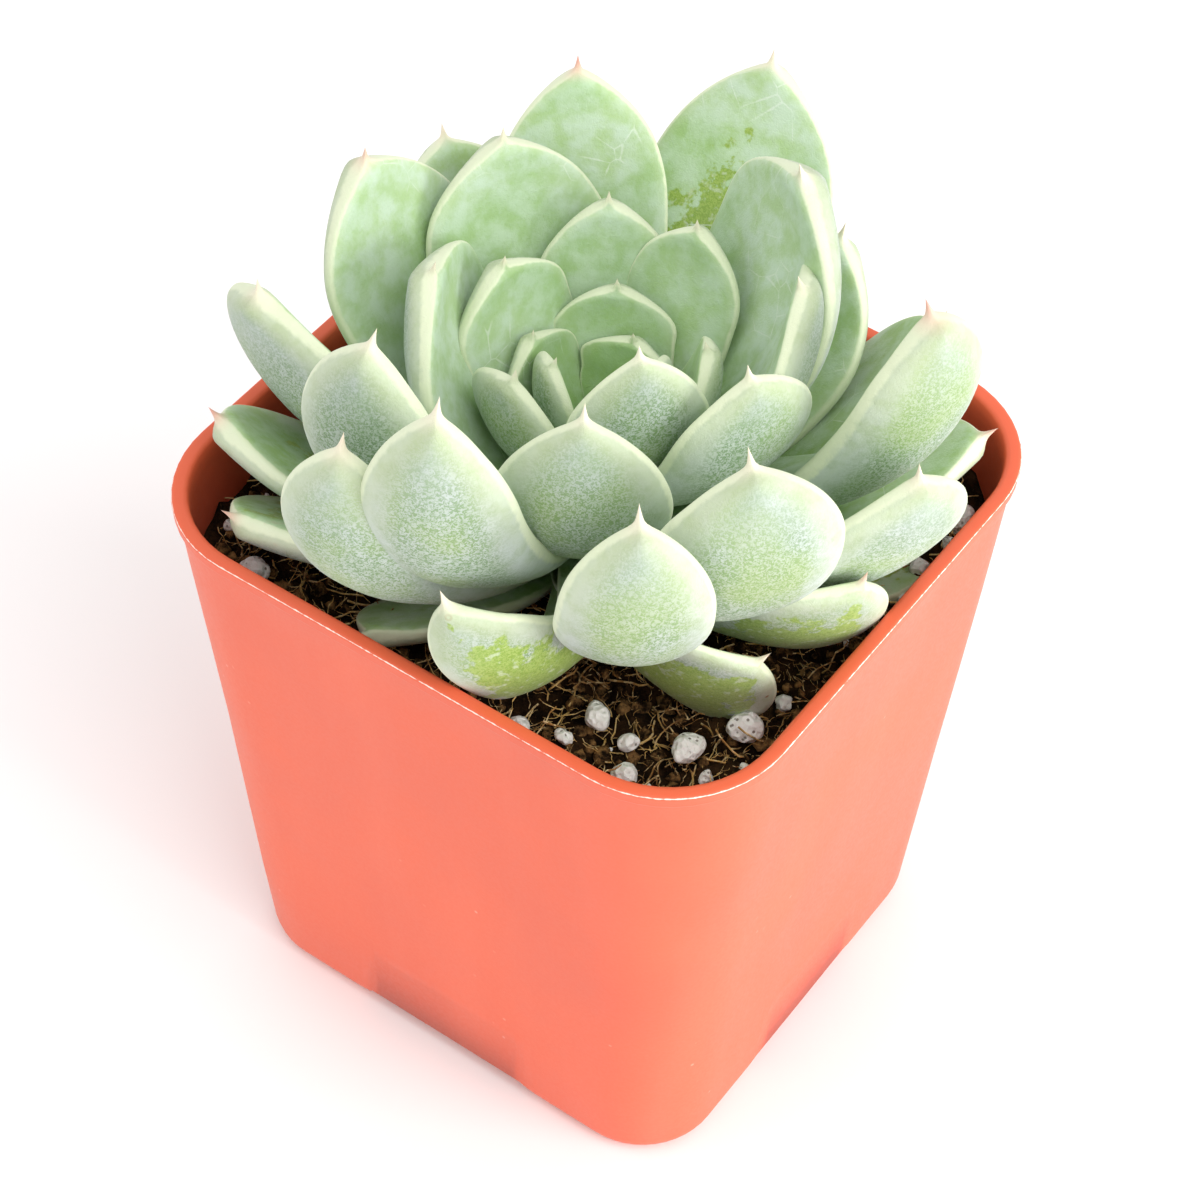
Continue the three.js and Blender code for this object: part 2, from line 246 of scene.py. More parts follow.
def blend(tree, share, a, b):
    """Mixes two colours. Share 0 is all a, 1 is all b."""
    item = tree.nodes.new("ShaderNodeMix")
    item.data_type = "RGBA"
    feed(tree, item.inputs[0], share)
    feed(tree, item.inputs[6], a)
    feed(tree, item.inputs[7], b)
    return item.outputs[2]


def relief(tree, shader, height, depth, strength=1.0):
    """Depth is the height of the relief in millimetres."""
    item = tree.nodes.new("ShaderNodeBump")
    item.inputs["Strength"].default_value = strength
    item.inputs["Distance"].default_value = depth * MM
    tree.links.new(height, item.inputs["Height"])
    tree.links.new(item.outputs["Normal"], shader.inputs["Normal"])


# ---- finishes ----


def floor_paint():
    material, tree, shader = new_material("floor_paint")
    cloud = grain(tree, place_on(tree), 400)
    shade = blend(tree, cloud, (0.93, 0.93, 0.93, 1), (0.96, 0.96, 0.96, 1))
    tree.links.new(shade, shader.inputs["Base Color"])
    shader.inputs["Roughness"].default_value = 0.9
    shader.inputs["Specular IOR Level"].default_value = 0.1
    return material


def leaf_skin():
    """Waxy green flesh under a white bloom, thin on the upper face and stippled underneath."""
    material, tree, shader = new_material("leaf_skin")
    place = place_on(tree)
    along, across = trait(tree, "along"), trait(tree, "across")
    upper, edge = trait(tree, "upper"), trait(tree, "from_edge")
    age, rubbed, blush = trait(tree, "age"), trait(tree, "rubbed"), trait(tree, "blush")
    wide = grain(tree, place, 9.0, detail=2.0)
    blotch = grain(tree, place, 2.1, detail=5.0, rough=0.62)
    fine = grain(tree, place, 0.8, detail=3.0)
    worm = grain(tree, place, 0.24, detail=1.5, distortion=1.2)

    flesh = blend(tree, step(tree, wide, 0.35, 0.65), (0.26, 0.45, 0.10, 1), (0.36, 0.54, 0.17, 1))
    # Painted shade: the flesh darkens towards the leaf's foot, where the leaves crowd together.
    flesh = blend(tree, step(tree, along, 0.45, 0.08, top=0.75), flesh, (0.13, 0.27, 0.075, 1))
    bloom = blend(tree, step(tree, wide, 0.3, 0.7), (0.50, 0.66, 0.46, 1), (0.60, 0.73, 0.61, 1))

    cover = maths(tree, "ADD", 0.36, step(tree, blotch, 0.32, 0.68, top=0.55))
    cover = maths(tree, "SUBTRACT", cover, step(tree, age, 0.45, 0.8, top=0.22))
    cover = maths(tree, "SUBTRACT", cover, step(tree, along, 0.42, 0.05, top=0.55), clamp=True)
    top_face = blend(tree, cover, flesh, bloom)
    top_face = blend(tree, step(tree, age, 0.30, 0.02, top=0.6), top_face, (0.25, 0.43, 0.11, 1))

    stipple = step(tree, worm, 0.40, 0.60)
    frost = blend(tree, step(tree, blotch, 0.3, 0.75), (0.41, 0.49, 0.40, 1), (0.49, 0.55, 0.52, 1))
    dots = blend(tree, step(tree, wide, 0.35, 0.7), (0.14, 0.25, 0.10, 1), (0.22, 0.35, 0.10, 1))
    heavy = maths(tree, "MULTIPLY", step(tree, across, 0.95, 0.40, top=0.95), step(tree, along, 0.12, 0.45))
    heavy = maths(tree, "MULTIPLY", heavy, step(tree, along, 1.0, 0.72, top=0.9))
    open_share = maths(tree, "ADD", maths(tree, "MULTIPLY", heavy, 0.85), 0.12)
    holes = maths(tree, "MULTIPLY", stipple, open_share, clamp=True)
    thinned = maths(tree, "MULTIPLY", heavy, step(tree, wide, 0.46, 0.70, top=0.6))
    frost = blend(tree, thinned, frost, (0.39, 0.49, 0.19, 1))
    under_face = blend(tree, holes, frost, dots)
    pale = maths(tree, "MULTIPLY", step(tree, across, 0.5, 0.95, top=0.7), step(tree, blotch, 0.3, 0.6))
    under_face = blend(tree, pale, under_face, (0.56, 0.62, 0.62, 1))
    yellow = maths(tree, "MULTIPLY", step(tree, edge, 3.5, 0.6, top=0.42), step(tree, along, 0.55, 0.9))
    under_face = blend(tree, yellow, under_face, (0.50, 0.57, 0.25, 1))
    face = blend(tree, step(tree, upper, -0.12, 0.12), under_face, top_face)

    # Painted shade: the whole face darkens towards the leaf's foot, where the leaves crowd together.
    foot_shade = step(tree, along, 0.36, 0.04, top=0.8)
    face = blend(tree, foot_shade, face, (0.16, 0.30, 0.10, 1))

    patch = maths(tree, "MULTIPLY", maths(tree, "ABSOLUTE", maths(tree, "SUBTRACT", along, 0.6)), 2.1)
    patch = maths(tree, "ADD", patch, maths(tree, "MULTIPLY", across, 0.75))
    patch = maths(tree, "SUBTRACT", patch, maths(tree, "MULTIPLY", rubbed, 1.35))
    patch = maths(tree, "ADD", patch, maths(tree, "MULTIPLY", maths(tree, "SUBTRACT", blotch, 0.5), 1.7))
    bare = step(tree, patch, 0.02, -0.10)
    bare = maths(tree, "MULTIPLY", bare, step(tree, rubbed, 0.02, 0.1))
    juice = blend(tree, stipple, (0.34, 0.47, 0.09, 1), (0.24, 0.37, 0.05, 1))
    juice = blend(tree, step(tree, fine, 0.56, 0.68, top=0.6), juice, (0.60, 0.68, 0.50, 1))
    face = blend(tree, maths(tree, "MULTIPLY", bare, 0.9), face, juice)
    spots = cells(tree, place, 3.0)
    ring = maths(tree, "MULTIPLY", step(tree, spots, 0.13, 0.10), step(tree, spots, 0.05, 0.07))
    ring = maths(tree, "MULTIPLY", ring, step(tree, rubbed, 0.50, 0.56))
    face = blend(tree, ring, face, (0.30, 0.15, 0.05, 1))

    lines = cells(tree, place, 3.4, feature="DISTANCE_TO_EDGE")
    scratch = step(tree, maths(tree, "ADD", lines, maths(tree, "MULTIPLY", fine, 0.05)), 0.045, 0.028)
    scratch = maths(tree, "MULTIPLY", scratch, step(tree, wide, 0.57, 0.66, top=0.55))
    scratch = maths(tree, "MULTIPLY", scratch, step(tree, upper, 0.0, 0.4))
    face = blend(tree, scratch, face, (0.72, 0.80, 0.70, 1))

    rim = maths(tree, "ADD", edge, maths(tree, "MULTIPLY", maths(tree, "SUBTRACT", fine, 0.5), 0.35))
    cream = step(tree, rim, 0.42, 0.10, top=0.85)
    cream = maths(tree, "MULTIPLY", cream, step(tree, along, 0.12, 0.45))
    face = blend(tree, cream, face, (0.80, 0.84, 0.62, 1))
    halo = maths(tree, "MULTIPLY", step(tree, edge, 1.4, 0.3, top=0.22), step(tree, along, 0.3, 0.7))
    face = blend(tree, halo, face, (0.66, 0.76, 0.50, 1))
    tip = maths(tree, "MULTIPLY", step(tree, edge, 1.1, 0.2), step(tree, along, 0.93, 0.985))
    face = blend(tree, tip, face, (0.86, 0.84, 0.66, 1))
    pink = maths(tree, "MULTIPLY", step(tree, along, 0.93, 0.995), blush)
    face = blend(tree, pink, face, (0.74, 0.30, 0.24, 1))
    worn = maths(tree, "MULTIPLY", step(tree, blotch, 0.62, 0.74, top=0.4), step(tree, age, 0.75, 1.0))
    face = blend(tree, worn, face, (0.52, 0.42, 0.26, 1))

    tree.links.new(face, shader.inputs["Base Color"])
    gloss = maths(tree, "SUBTRACT", 0.62, maths(tree, "MULTIPLY", bare, 0.16))
    gloss = maths(tree, "ADD", gloss, maths(tree, "MULTIPLY", maths(tree, "SUBTRACT", fine, 0.5), 0.12))
    tree.links.new(gloss, shader.inputs["Roughness"])
    shader.inputs["Specular IOR Level"].default_value = 0.32
    shader.inputs["Sheen Weight"].default_value = 0.12
    shader.inputs["Sheen Roughness"].default_value = 0.5
    height = maths(tree, "ADD", maths(tree, "MULTIPLY", worm, 0.5), maths(tree, "MULTIPLY", blotch, 1.0))
    relief(tree, shader, height, 0.14, strength=0.6)
    return material


def pot_plastic():
    """Thin moulded plastic with a satin face, faint flow marks, painted shade on the inner wall and a painted
    highlight line along the rim's outer edge.
    """
    material, tree, shader = new_material("pot_plastic")
    place = place_on(tree)
    cloud = grain(tree, place, 16, detail=3.0)
    streak = grain(tree, place, 6, detail=3.0, stretch=(1, 1, 0.18))
    tooth = grain(tree, place, 0.35, detail=2.0)
    speck = cells(tree, place, 2.2)
    body = blend(tree, step(tree, cloud, 0.3, 0.7), (0.77, 0.120, 0.054, 1), (0.82, 0.140, 0.066, 1))
    body = blend(tree, step(tree, streak, 0.42, 0.7, top=0.10), body, (0.92, 0.235, 0.15, 1))
    scuff = maths(tree, "MULTIPLY", step(tree, speck, 0.10, 0.05), step(tree, cloud, 0.56, 0.64, top=0.5))
    body = blend(tree, scuff, body, (0.95, 0.50, 0.40, 1))
    rim = trait(tree, "rim")
    body = blend(tree, step(tree, rim, 0.2, 0.8), body, (0.80, 0.13, 0.055, 1))
    # Painted shade: the inner wall is drawn darker, standing in for the shade inside the pot.
    inside = trait(tree, "inside")
    body = blend(tree, step(tree, inside, 0.3, 0.7, top=0.55), body, (0.55, 0.09, 0.04, 1))
    # Painted highlight: a thin, ragged, near-white line along the rim's outer edge, where the lip catches the
    # light.
    white = trait(tree, "rim_highlight")
    ragged = maths(tree, "ADD", white, maths(tree, "MULTIPLY", maths(tree, "SUBTRACT", tooth, 0.5), 1.3))
    white = maths(tree, "MULTIPLY", step(tree, ragged, 0.60, 0.85, top=0.85), step(tree, white, 0.2, 0.5))
    body = blend(tree, white, body, (0.98, 0.88, 0.78, 1))
    tree.links.new(body, shader.inputs["Base Color"])
    gloss = maths(tree, "ADD", 0.36, step(tree, cloud, 0.3, 0.7, top=0.1))
    gloss = maths(tree, "ADD", gloss, step(tree, tooth, 0.3, 0.7, top=0.06))
    tree.links.new(gloss, shader.inputs["Roughness"])
    shader.inputs["Specular IOR Level"].default_value = 0.45
    height = maths(tree, "ADD", maths(tree, "MULTIPLY", tooth, 0.12), maths(tree, "MULTIPLY", streak, 0.25))
    relief(tree, shader, height, 0.06, strength=0.5)
    return material


def peat(name, dark, light, lump):
    material, tree, shader = new_material(name)
    place = place_on(tree)
    coarse = grain(tree, place, lump * 2.2, detail=4.0, rough=0.65)
    fine = grain(tree, place, lump * 0.45, detail=4.0, rough=0.7, distortion=0.6)
    shade = blend(tree, step(tree, coarse, 0.40, 0.68), dark, light)
    shade = blend(tree, step(tree, fine, 0.60, 0.78, top=0.7), shade, (0.20, 0.115, 0.045, 1))
    tree.links.new(shade, shader.inputs["Base Color"])
    shader.inputs["Roughness"].default_value = 0.95
    shader.inputs["Specular IOR Level"].default_value = 0.12
    relief(tree, shader, maths(tree, "ADD", fine, coarse), 0.5, strength=0.9)
    return material


def perlite_crust():
    """White puffed glass with pin holes, whose pits are painted dark brown."""
    material, tree, shader = new_material("perlite_crust")
    place = place_on(tree)
    pits = cells(tree, place, 0.55)
    dust = grain(tree, place, 0.7, detail=4.0, rough=0.7)
    cloud = grain(tree, place, 2.2, detail=2.0)
    shade = blend(tree, step(tree, dust, 0.35, 0.7), (0.93, 0.92, 0.88, 1), (0.99, 0.98, 0.96, 1))
    pit = maths(tree, "MULTIPLY", step(tree, pits, 0.30, 0.16), step(tree, cloud, 0.40, 0.52))
    shade = blend(tree, maths(tree, "MULTIPLY", pit, 0.8), shade, (0.12, 0.09, 0.06, 1))
    shade = blend(tree, step(tree, cloud, 0.66, 0.78, top=0.2), shade, (0.36, 0.28, 0.20, 1))
    tree.links.new(shade, shader.inputs["Base Color"])
    shader.inputs["Roughness"].default_value = 0.9
    shader.inputs["Specular IOR Level"].default_value = 0.15
    relief(tree, shader, maths(tree, "ADD", maths(tree, "MULTIPLY", pits, 1.2), dust), 0.28, strength=0.9)
    return material


def fibre_bark():
    material, tree, shader = new_material("fibre_bark")
    place = place_on(tree)
    cloud = grain(tree, place, 5, detail=2.0)
    fine = grain(tree, place, 0.5, detail=3.0)
    shade = blend(tree, step(tree, cloud, 0.38, 0.62), (0.34, 0.16, 0.04, 1), (0.92, 0.60, 0.20, 1))
    shade = blend(tree, step(tree, fine, 0.45, 0.65, top=0.8), shade, (1.0, 0.78, 0.42, 1))
    tree.links.new(shade, shader.inputs["Base Color"])
    shader.inputs["Roughness"].default_value = 0.7
    relief(tree, shader, fine, 0.08, strength=0.7)
    return material


def stock_bark():
    material, tree, shader = new_material("stock_bark")
    place = place_on(tree)
    scars = cells(tree, place, 1.9)
    fine = grain(tree, place, 0.6, detail=4.0)
    shade = blend(tree, step(tree, scars, 0.2, 0.6), (0.22, 0.20, 0.09, 1), (0.17, 0.27, 0.09, 1))
    shade = blend(tree, step(tree, fine, 0.45, 0.7, top=0.5), shade, (0.10, 0.12, 0.045, 1))
    tree.links.new(shade, shader.inputs["Base Color"])
    shader.inputs["Roughness"].default_value = 0.8
    relief(tree, shader, maths(tree, "ADD", scars, fine), 0.2, strength=0.8)
    return material


# ---- mesh helpers ----


def finished(name, bm, smooth=True):
    """Turns a bmesh into an object in the scene."""
    mesh = bpy.data.meshes.new(name)
    bm.to_mesh(mesh)
    bm.free()
    if smooth:
        mesh.shade_smooth()
    piece = bpy.data.objects.new(name, mesh)
    bpy.context.scene.collection.objects.link(piece)
    return piece


def part_of_plant(piece, slot, material, *nodes):
    """Gives a piece its finish, parents it to the root body and hides the CAD nodes it stands for."""
    piece.data.materials.clear()
    piece.data.materials.append(material)
    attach(piece, "root")
    if nodes:
        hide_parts(*nodes)
    return piece


def rounded(piece, levels):
    finish = piece.modifiers.new("rounded", "SUBSURF")
    finish.levels = levels
    finish.render_levels = levels


def merged_copy(node):
    bm = bmesh.new()
    bm.from_mesh(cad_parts[node].data)
    bmesh.ops.remove_doubles(bm, verts=bm.verts, dist=1e-6)
    return bm


# ---- pot ----


def rounded_rectangle(z, inset):
    """Points round the pot at height z, this far inside its outer wall, in millimetres."""
    up = z / POT_HEIGHT
    half_x = (BASE_WIDTH + (RIM_WIDTH - 2 * LIP_OUT - BASE_WIDTH) * up) / 2 - inset
    half_y = (BASE_DEPTH + (RIM_DEPTH - 2 * LIP_OUT - BASE_DEPTH) * up) / 2 - inset
    corner = max(BASE_CORNER + (RIM_CORNER - BASE_CORNER) * up - inset, 1)
    centres = [(1, 1), (-1, 1), (-1, -1), (1, -1)]
    points = []
    for quarter, (sign_x, sign_y) in enumerate(centres):
        centre = Vector((sign_x * (half_x - corner), sign_y * (half_y - corner), z))
        for i in range(CORNER_STEPS + 1):
            angle = (quarter + i / CORNER_STEPS) * math.pi / 2
            points.append(centre + corner * Vector((math.cos(angle), math.sin(angle), 0)))
        next_x, next_y = centres[(quarter + 1) % 4]
        after = Vector((next_x * (half_x - corner), next_y * (half_y - corner), z))
        angle = (quarter + 1) * math.pi / 2
        end = after + corner * Vector((math.cos(angle), math.sin(angle), 0))
        start = points[-1]
        for i in range(1, SIDE_STEPS):
            points.append(start.lerp(end, i / SIDE_STEPS))
    return points


def foot_lift(point):
    """How high the base edge stands above the ground here: nothing at the four corner feet."""
    on_x_side = abs(point.x) / BASE_WIDTH > abs(point.y) / BASE_DEPTH
    along, half = (point.y, BASE_DEPTH / 2) if on_x_side else (point.x, BASE_WIDTH / 2)
    clear = (half - FOOT_SPAN) - abs(along)
    share = min(max(clear / FOOT_SLOPE, 0), 1)
    return FOOT_RISE * share * share * (3 - 2 * share)


def draw_rings(bm, rings, traits):
    """Extrudes a circle through rings of points. Each ring carries its own values, such as rim."""
    layers = [bm.verts.layers.float.new(name) for name in ("rim", "inside", "rim_highlight")]
    verts = bmesh.ops.create_circle(bm, segments=len(rings[0]), radius=1)["verts"]
    edges = list({edge for vert in verts for edge in vert.link_edges})
    first_edges = list(edges)
    for i, (ring, values) in enumerate(zip(rings, traits)):
        if i > 0:
            grown = bmesh.ops.extrude_edge_only(bm, edges=edges)["geom"]
            fresh = {item for item in grown if isinstance(item, bmesh.types.BMVert)}
            verts = [next(e.other_vert(v) for e in v.link_edges if e.other_vert(v) in fresh) for v in verts]
            edges = [
                item for item in grown
                if isinstance(item, bmesh.types.BMEdge) and item.verts[0] in fresh and item.verts[1] in fresh
            ]
        for vert, point in zip(verts, ring):
            vert.co = point * MM
            for layer, value in zip(layers, values):
                vert[layer] = value
    return first_edges, edges


def drained_floor(bm, edges, z):
    """Fills the floor inside these edges, with a ring left open for each drain hole."""
    around = []
    holes = [(0, 0), (1, 0), (0, 1), (-1, 0), (0, -1)]
    for x, y in holes:
        move = Matrix.Translation(Vector((x * DRAIN_SPACING, y * DRAIN_SPACING, z)) * MM)
        ring = bmesh.ops.create_circle(bm, segments=DRAIN_STEPS, radius=DRAIN_RADIUS * MM, matrix=move)["verts"]
        around.append(list({edge for vert in ring for edge in vert.link_edges}))
    hole_edges = [edge for ring in around for edge in ring]
    bmesh.ops.triangle_fill(bm, use_beauty=True, edges=edges + hole_edges)
    return around


def make_pot():
    """One shell, drawn ring by ring from under the floor, up the outside, over the lip and down the inside."""
    rings, traits = [], []

    def level(z, inset, lifted, rim=0.0, inside=0.0, rim_highlight=0.0):
        ring = rounded_rectangle(z, inset)
        for point in ring:
            if lifted:
                point.z += foot_lift(point) * lifted
            sag = 0.10 * noise.noise(Vector((point.x, point.y, point.z)) * 0.045)
            point.x += sag * point.x / 25
            point.y += sag * point.y / 25
        rings.append(ring)
        traits.append((rim, inside, rim_highlight))

    level(FOOT_RISE, FOOT_WIDTH + 0.8, 0)
    level(0.3, FOOT_WIDTH, 1 - 0.3 / FOOT_RISE)
    level(0, FOOT_WIDTH - 0.5, 1)
    for i in range(6):
        angle = math.radians(90 * i / 5)
        level(BASE_EDGE * (1 - math.cos(angle)), BASE_EDGE * (1 - math.sin(angle)), math.cos(angle) ** 0.5)
    for share in (0.15, 0.35, 0.55, 0.75, 0.92):
        level(BASE_EDGE + (POT_HEIGHT - LIP_TALL - LIP_OUT - BASE_EDGE) * share, 0, 0)
    lip_foot = POT_HEIGHT - LIP_TALL
    level(lip_foot - LIP_OUT - 0.25, 0, 0)
    level(lip_foot - LIP_OUT, -0.04, 0)
    level(lip_foot, -LIP_OUT, 0)
    level(lip_foot + 0.1, -LIP_OUT, 0)
    level(POT_HEIGHT - 0.34, -LIP_OUT, 0)
    level(POT_HEIGHT - 0.20, -LIP_OUT, 0)
    # This ring carries the painted highlight line along the rim's outer edge.
    level(POT_HEIGHT - 0.08, -LIP_OUT + 0.05, 0, rim=0.2, rim_highlight=1.0)
    level(POT_HEIGHT, -LIP_OUT + 0.14, 0, rim=0.8)
    level(POT_HEIGHT + 0.02, -LIP_OUT + 0.32, 0, rim=1.0)
    level(POT_HEIGHT, WALL * 0.55, 0, rim=1.0)
    level(POT_HEIGHT - 0.06, WALL - 0.15, 0, rim=1.0)
    # From here down, the inner wall carries the painted shade.
    level(POT_HEIGHT - 0.30, WALL, 0, rim=1.0, inside=0.3)
    level(POT_HEIGHT - 2.0, WALL, 0, rim=0.6, inside=1.0)
    level(POT_HEIGHT - 6.5, WALL, 0, inside=1.0)
    level(FOOT_RISE + FLOOR + 1.2, WALL, 0, inside=1.0)
    level(FOOT_RISE + FLOOR, WALL + 1.2, 0, inside=1.0)

    bm = bmesh.new()
    under, over = draw_rings(bm, rings, traits)
    below = drained_floor(bm, under, FOOT_RISE)
    above = drained_floor(bm, over, FOOT_RISE + FLOOR)
    for low, high in zip(below, above):
        bmesh.ops.bridge_loops(bm, edges=low + high)
    bmesh.ops.recalc_face_normals(bm, faces=bm.faces)
    pot = finished("moulded_pot", bm)
    part_of_plant(pot, "pot_plastic", pot_plastic(), "pot")


# ---- leaves ----


def in_order(ring):
    """The points of one ring in the order they stand round it."""
    left = set(ring)
    path = [ring[0]]
    left.discard(ring[0])
    while left:
        here = path[-1]
        step_on = next(e.other_vert(here) for e in here.link_edges if e.other_vert(here) in left)
        path.append(step_on)
        left.discard(step_on)
    return path


def leaf_line(node):
    """What the CAD leaf says of its shape.

    It gives stations from foot to tip with the middle and the upward direction at each, and the leaf's
    greatest half width, greatest thickness and length.
    """
    bm = merged_copy(node)
    poles = [vert for vert in bm.verts if len(vert.link_edges) == CAD_ROUND]
    across, quarter = CAD_ROUND // 2, CAD_ROUND // 4

    def ring_of(pole):
        return [edge.other_vert(pole) for edge in pole.link_edges]

    def ring_gap(pole):
        ring = ring_of(pole)
        return (sum((v.co for v in ring), Vector()) / len(ring) - pole.co).length

    foot, tip = sorted(poles, key=ring_gap)
    seen = {foot}
    ring = ring_of(foot)
    middles, ups, halves, depths = [], [], [], []
    while len(ring) > 1:
        seen.update(ring)
        path = in_order(ring)
        wide = max(range(across), key=lambda i: (path[i].co - path[i + across].co).length)
        left, right = path[wide].co, path[wide + across].co
        faces = [path[(wide + turn) % CAD_ROUND].co for turn in (quarter, across + quarter)]
        edge_middle = (left + right) / 2
        top, bottom = sorted(faces, key=lambda p: (p - edge_middle).length)
        up = (top - bottom).normalized()
        middles.append(bottom + 0.7 * (top - bottom))
        ups.append(up)
        halves.append((left - right).length / 2)
        depths.append((top - bottom).length)
        ring = list({e.other_vert(v) for v in ring for e in v.link_edges} - seen)
    middles.append(tip.co.copy())
    ups.append(ups[-1])
    bm.free()
    reach = [0.0]
    for before, after in zip(middles, middles[1:]):
        reach.append(reach[-1] + (after - before).length)
    length = reach[-1]
    stations = [value / length for value in reach]
    return stations, middles, ups, max(halves), max(depths), length


def smooth_through(stations, values, s):
    """The value at s on a smooth curve through these values."""
    last = len(stations) - 1
    i = min(max(bisect.bisect_right(stations, s) - 1, 0), last - 1)
    gap = stations[i + 1] - stations[i]
    t = (s - stations[i]) / gap

    def slope(j):
        low, high = max(j - 1, 0), min(j + 1, last)
        return (values[high] - values[low]) / (stations[high] - stations[low])

    start, end = slope(i) * gap, slope(i + 1) * gap
    first = values[i] * (2 * t**3 - 3 * t**2 + 1) + start * (t**3 - 2 * t**2 + t)
    return first + values[i + 1] * (3 * t**2 - 2 * t**3) + end * (t**3 - t**2)


def blade_share(s, widest, end):
    """The half width at s as a share of the greatest, without the spike."""
    if s < widest:
        rise = math.sin(math.pi / 2 * s / widest)
        return LEAF_FOOT_SHARE + (1 - LEAF_FOOT_SHARE) * rise**0.85
    down = min((s - widest) / (end - widest), 1)
    return (1 - down**2.35) ** 0.78


def posed(middles, ups, lower, curl, roll):
    """Turns a leaf about its foot, in degrees.

    Lower opens it outwards, curl bends its outer part back in, and roll turns its faces about its length.
    """
    spots, turned = [middles[0].copy()], []
    last = len(middles) - 1
    for i, up in enumerate(ups):
        share = i / last
        ahead = (middles[min(i + 1, last)] - middles[max(i - 1, 0)]).normalized()
        side = up.cross(ahead).normalized()
        bend = -lower * min(share * 4, 1) + curl * share**1.3
        twist = roll * min(share * 2.2, 1)
        turn = Matrix.Rotation(math.radians(-bend), 3, side)
        about = Matrix.Rotation(math.radians(twist), 3, turn @ ahead)
        turned.append(about @ (turn @ up))
        if i < last:
            spots.append(spots[-1] + turn @ (middles[i + 1] - middles[i]))
    return spots, turned


def habit(middles, age):
    """How far a leaf opens low and curls back in: most on the side where the rosette leans open."""
    tip = middles[-1]
    facing = math.cos(math.atan2(tip.y, tip.x) - math.radians(OPEN_SIDE))
    grown = min(max((age - 0.2) / 0.2, 0), 1)
    lying = min(max((age - 0.78) / 0.1, 0), 1)
    front = max(facing, 0) * grown * (1 - lying)
    lower = OPEN_LOWER * front
    curl = OPEN_CURL * front + SIDE_CURL * grown * (1 - lying) * (1 - abs(facing))
    beside = math.sin(math.radians(OPEN_SIDE - 8) - math.atan2(tip.y, tip.x))
    roll = SIDE_ROLL * beside * grown * (1 - 0.5 * lying) * min(max(facing + 0.7, 0) * 1.5, 1)
    return lower, curl, roll


def make_leaf(node, age, traits, material):
    stations, middles, ups, half, depth, length = leaf_line(node)
    lower, curl, roll = habit(middles, age)
    lower += traits.get("lower", 0)
    curl += traits.get("curl", 0)
    roll += traits.get("roll", 0)
    swing = Matrix.Rotation(math.radians(traits.get("swing", 0)), 3, "Z")
    longer = traits.get("longer", 1.0)
    middles = [middles[0] + swing @ (middle - middles[0]) * longer for middle in middles]
    ups = [swing @ up for up in ups]
    middles, ups = posed(middles, ups, lower, curl, roll)
    length *= longer
    half *= traits.get("broader", 1.0)
    depth *= PLUMP
    widest = LEAF_WIDEST + 0.10 * min(curl / OPEN_CURL, 1)
    spike = SPIKE_LENGTH * MM / length * (0.6 + 0.4 * min(age * 2.5, 1))
    end = 1 - 0.72 * spike
    cup = 0.12 - 0.04 * age
    seed = Vector((3.1 * age * 20, 7.7 * age, 1.3 * age))

    bm = bmesh.new()
    names = ("along", "across", "upper", "from_edge", "age", "rubbed", "blush")
    layers = {name: bm.verts.layers.float.new(name) for name in names}
    bmesh.ops.create_uvsphere(bm, u_segments=LEAF_ROUND, v_segments=LEAF_ALONG, radius=1)
    for vert in bm.verts:
        s = min(max((1 + vert.co.z) / 2, 0), 1)
        angle = math.atan2(vert.co.y, vert.co.x)
        if min(s, 1 - s) < 1e-6:
            c, n = 0.0, 0.0
        else:
            c, n = math.cos(angle), math.sin(angle)
        middle = smooth_through(stations, middles, s)
        after = smooth_through(stations, middles, min(s + 0.01, 1))
        ahead = after - smooth_through(stations, middles, max(s - 0.01, 0))
        up = smooth_through(stations, ups, s)
        side = up.cross(ahead).normalized()
        up = ahead.cross(side).normalized()
        thorn = SPIKE_HALF * MM * min((1 - s) / spike, 1.0) ** 1.25
        wide = blade_share(s, widest, end) * half
        reach = math.hypot(wide, thorn) if s < end else thorn
        reach *= min(s / 0.03, 1.0) ** 0.5 if s < 0.03 else 1.0
        thick = depth * (0.62 + 0.38 * math.sin(math.pi * min(s / 0.6, 1) / 2)) * (1 - max(s - 0.6, 0) * 1.15)
        thick = min(thick, 1.9 * reach)
        wave = noise.noise(Vector((c * 1.5, s * 5, 0)) + seed)
        across = reach * c * (1 + EDGE_WAVE * MM / half * wave * 2)
        if n >= 0:
            height = 0.32 * thick * n
        else:
            keel = 0.06 * thick * max(s - 0.45, 0) * 2 * math.exp(-((c / 0.22) ** 2))
            height = -0.70 * thick * abs(n) ** 0.92 - keel
        height += cup * reach * c * c
        height += 0.16 * MM * noise.noise(Vector((c * 2, s * 4, n)) + seed * 2) * min(reach / half, 1)
        vert.co = middle + side * across + up * height
        vert[layers["along"]] = s
        vert[layers["across"]] = abs(c)
        vert[layers["upper"]] = n
        vert[layers["from_edge"]] = min(reach * (1 - abs(c)), (1 - s) * length * 1.6) / MM
        vert[layers["age"]] = age
        vert[layers["rubbed"]] = traits.get("rubbed", 0.0)
        vert[layers["blush"]] = traits.get("blush", 0.05 + 0.25 * age)
    bmesh.ops.recalc_face_normals(bm, faces=bm.faces)
    if bm.calc_volume(signed=True) < 0:
        bmesh.ops.reverse_faces(bm, faces=bm.faces)
    leaf = finished(node.replace("leaf", "blade"), bm)
    rounded(leaf, 1)
    part_of_plant(leaf, "leaf", material, node)


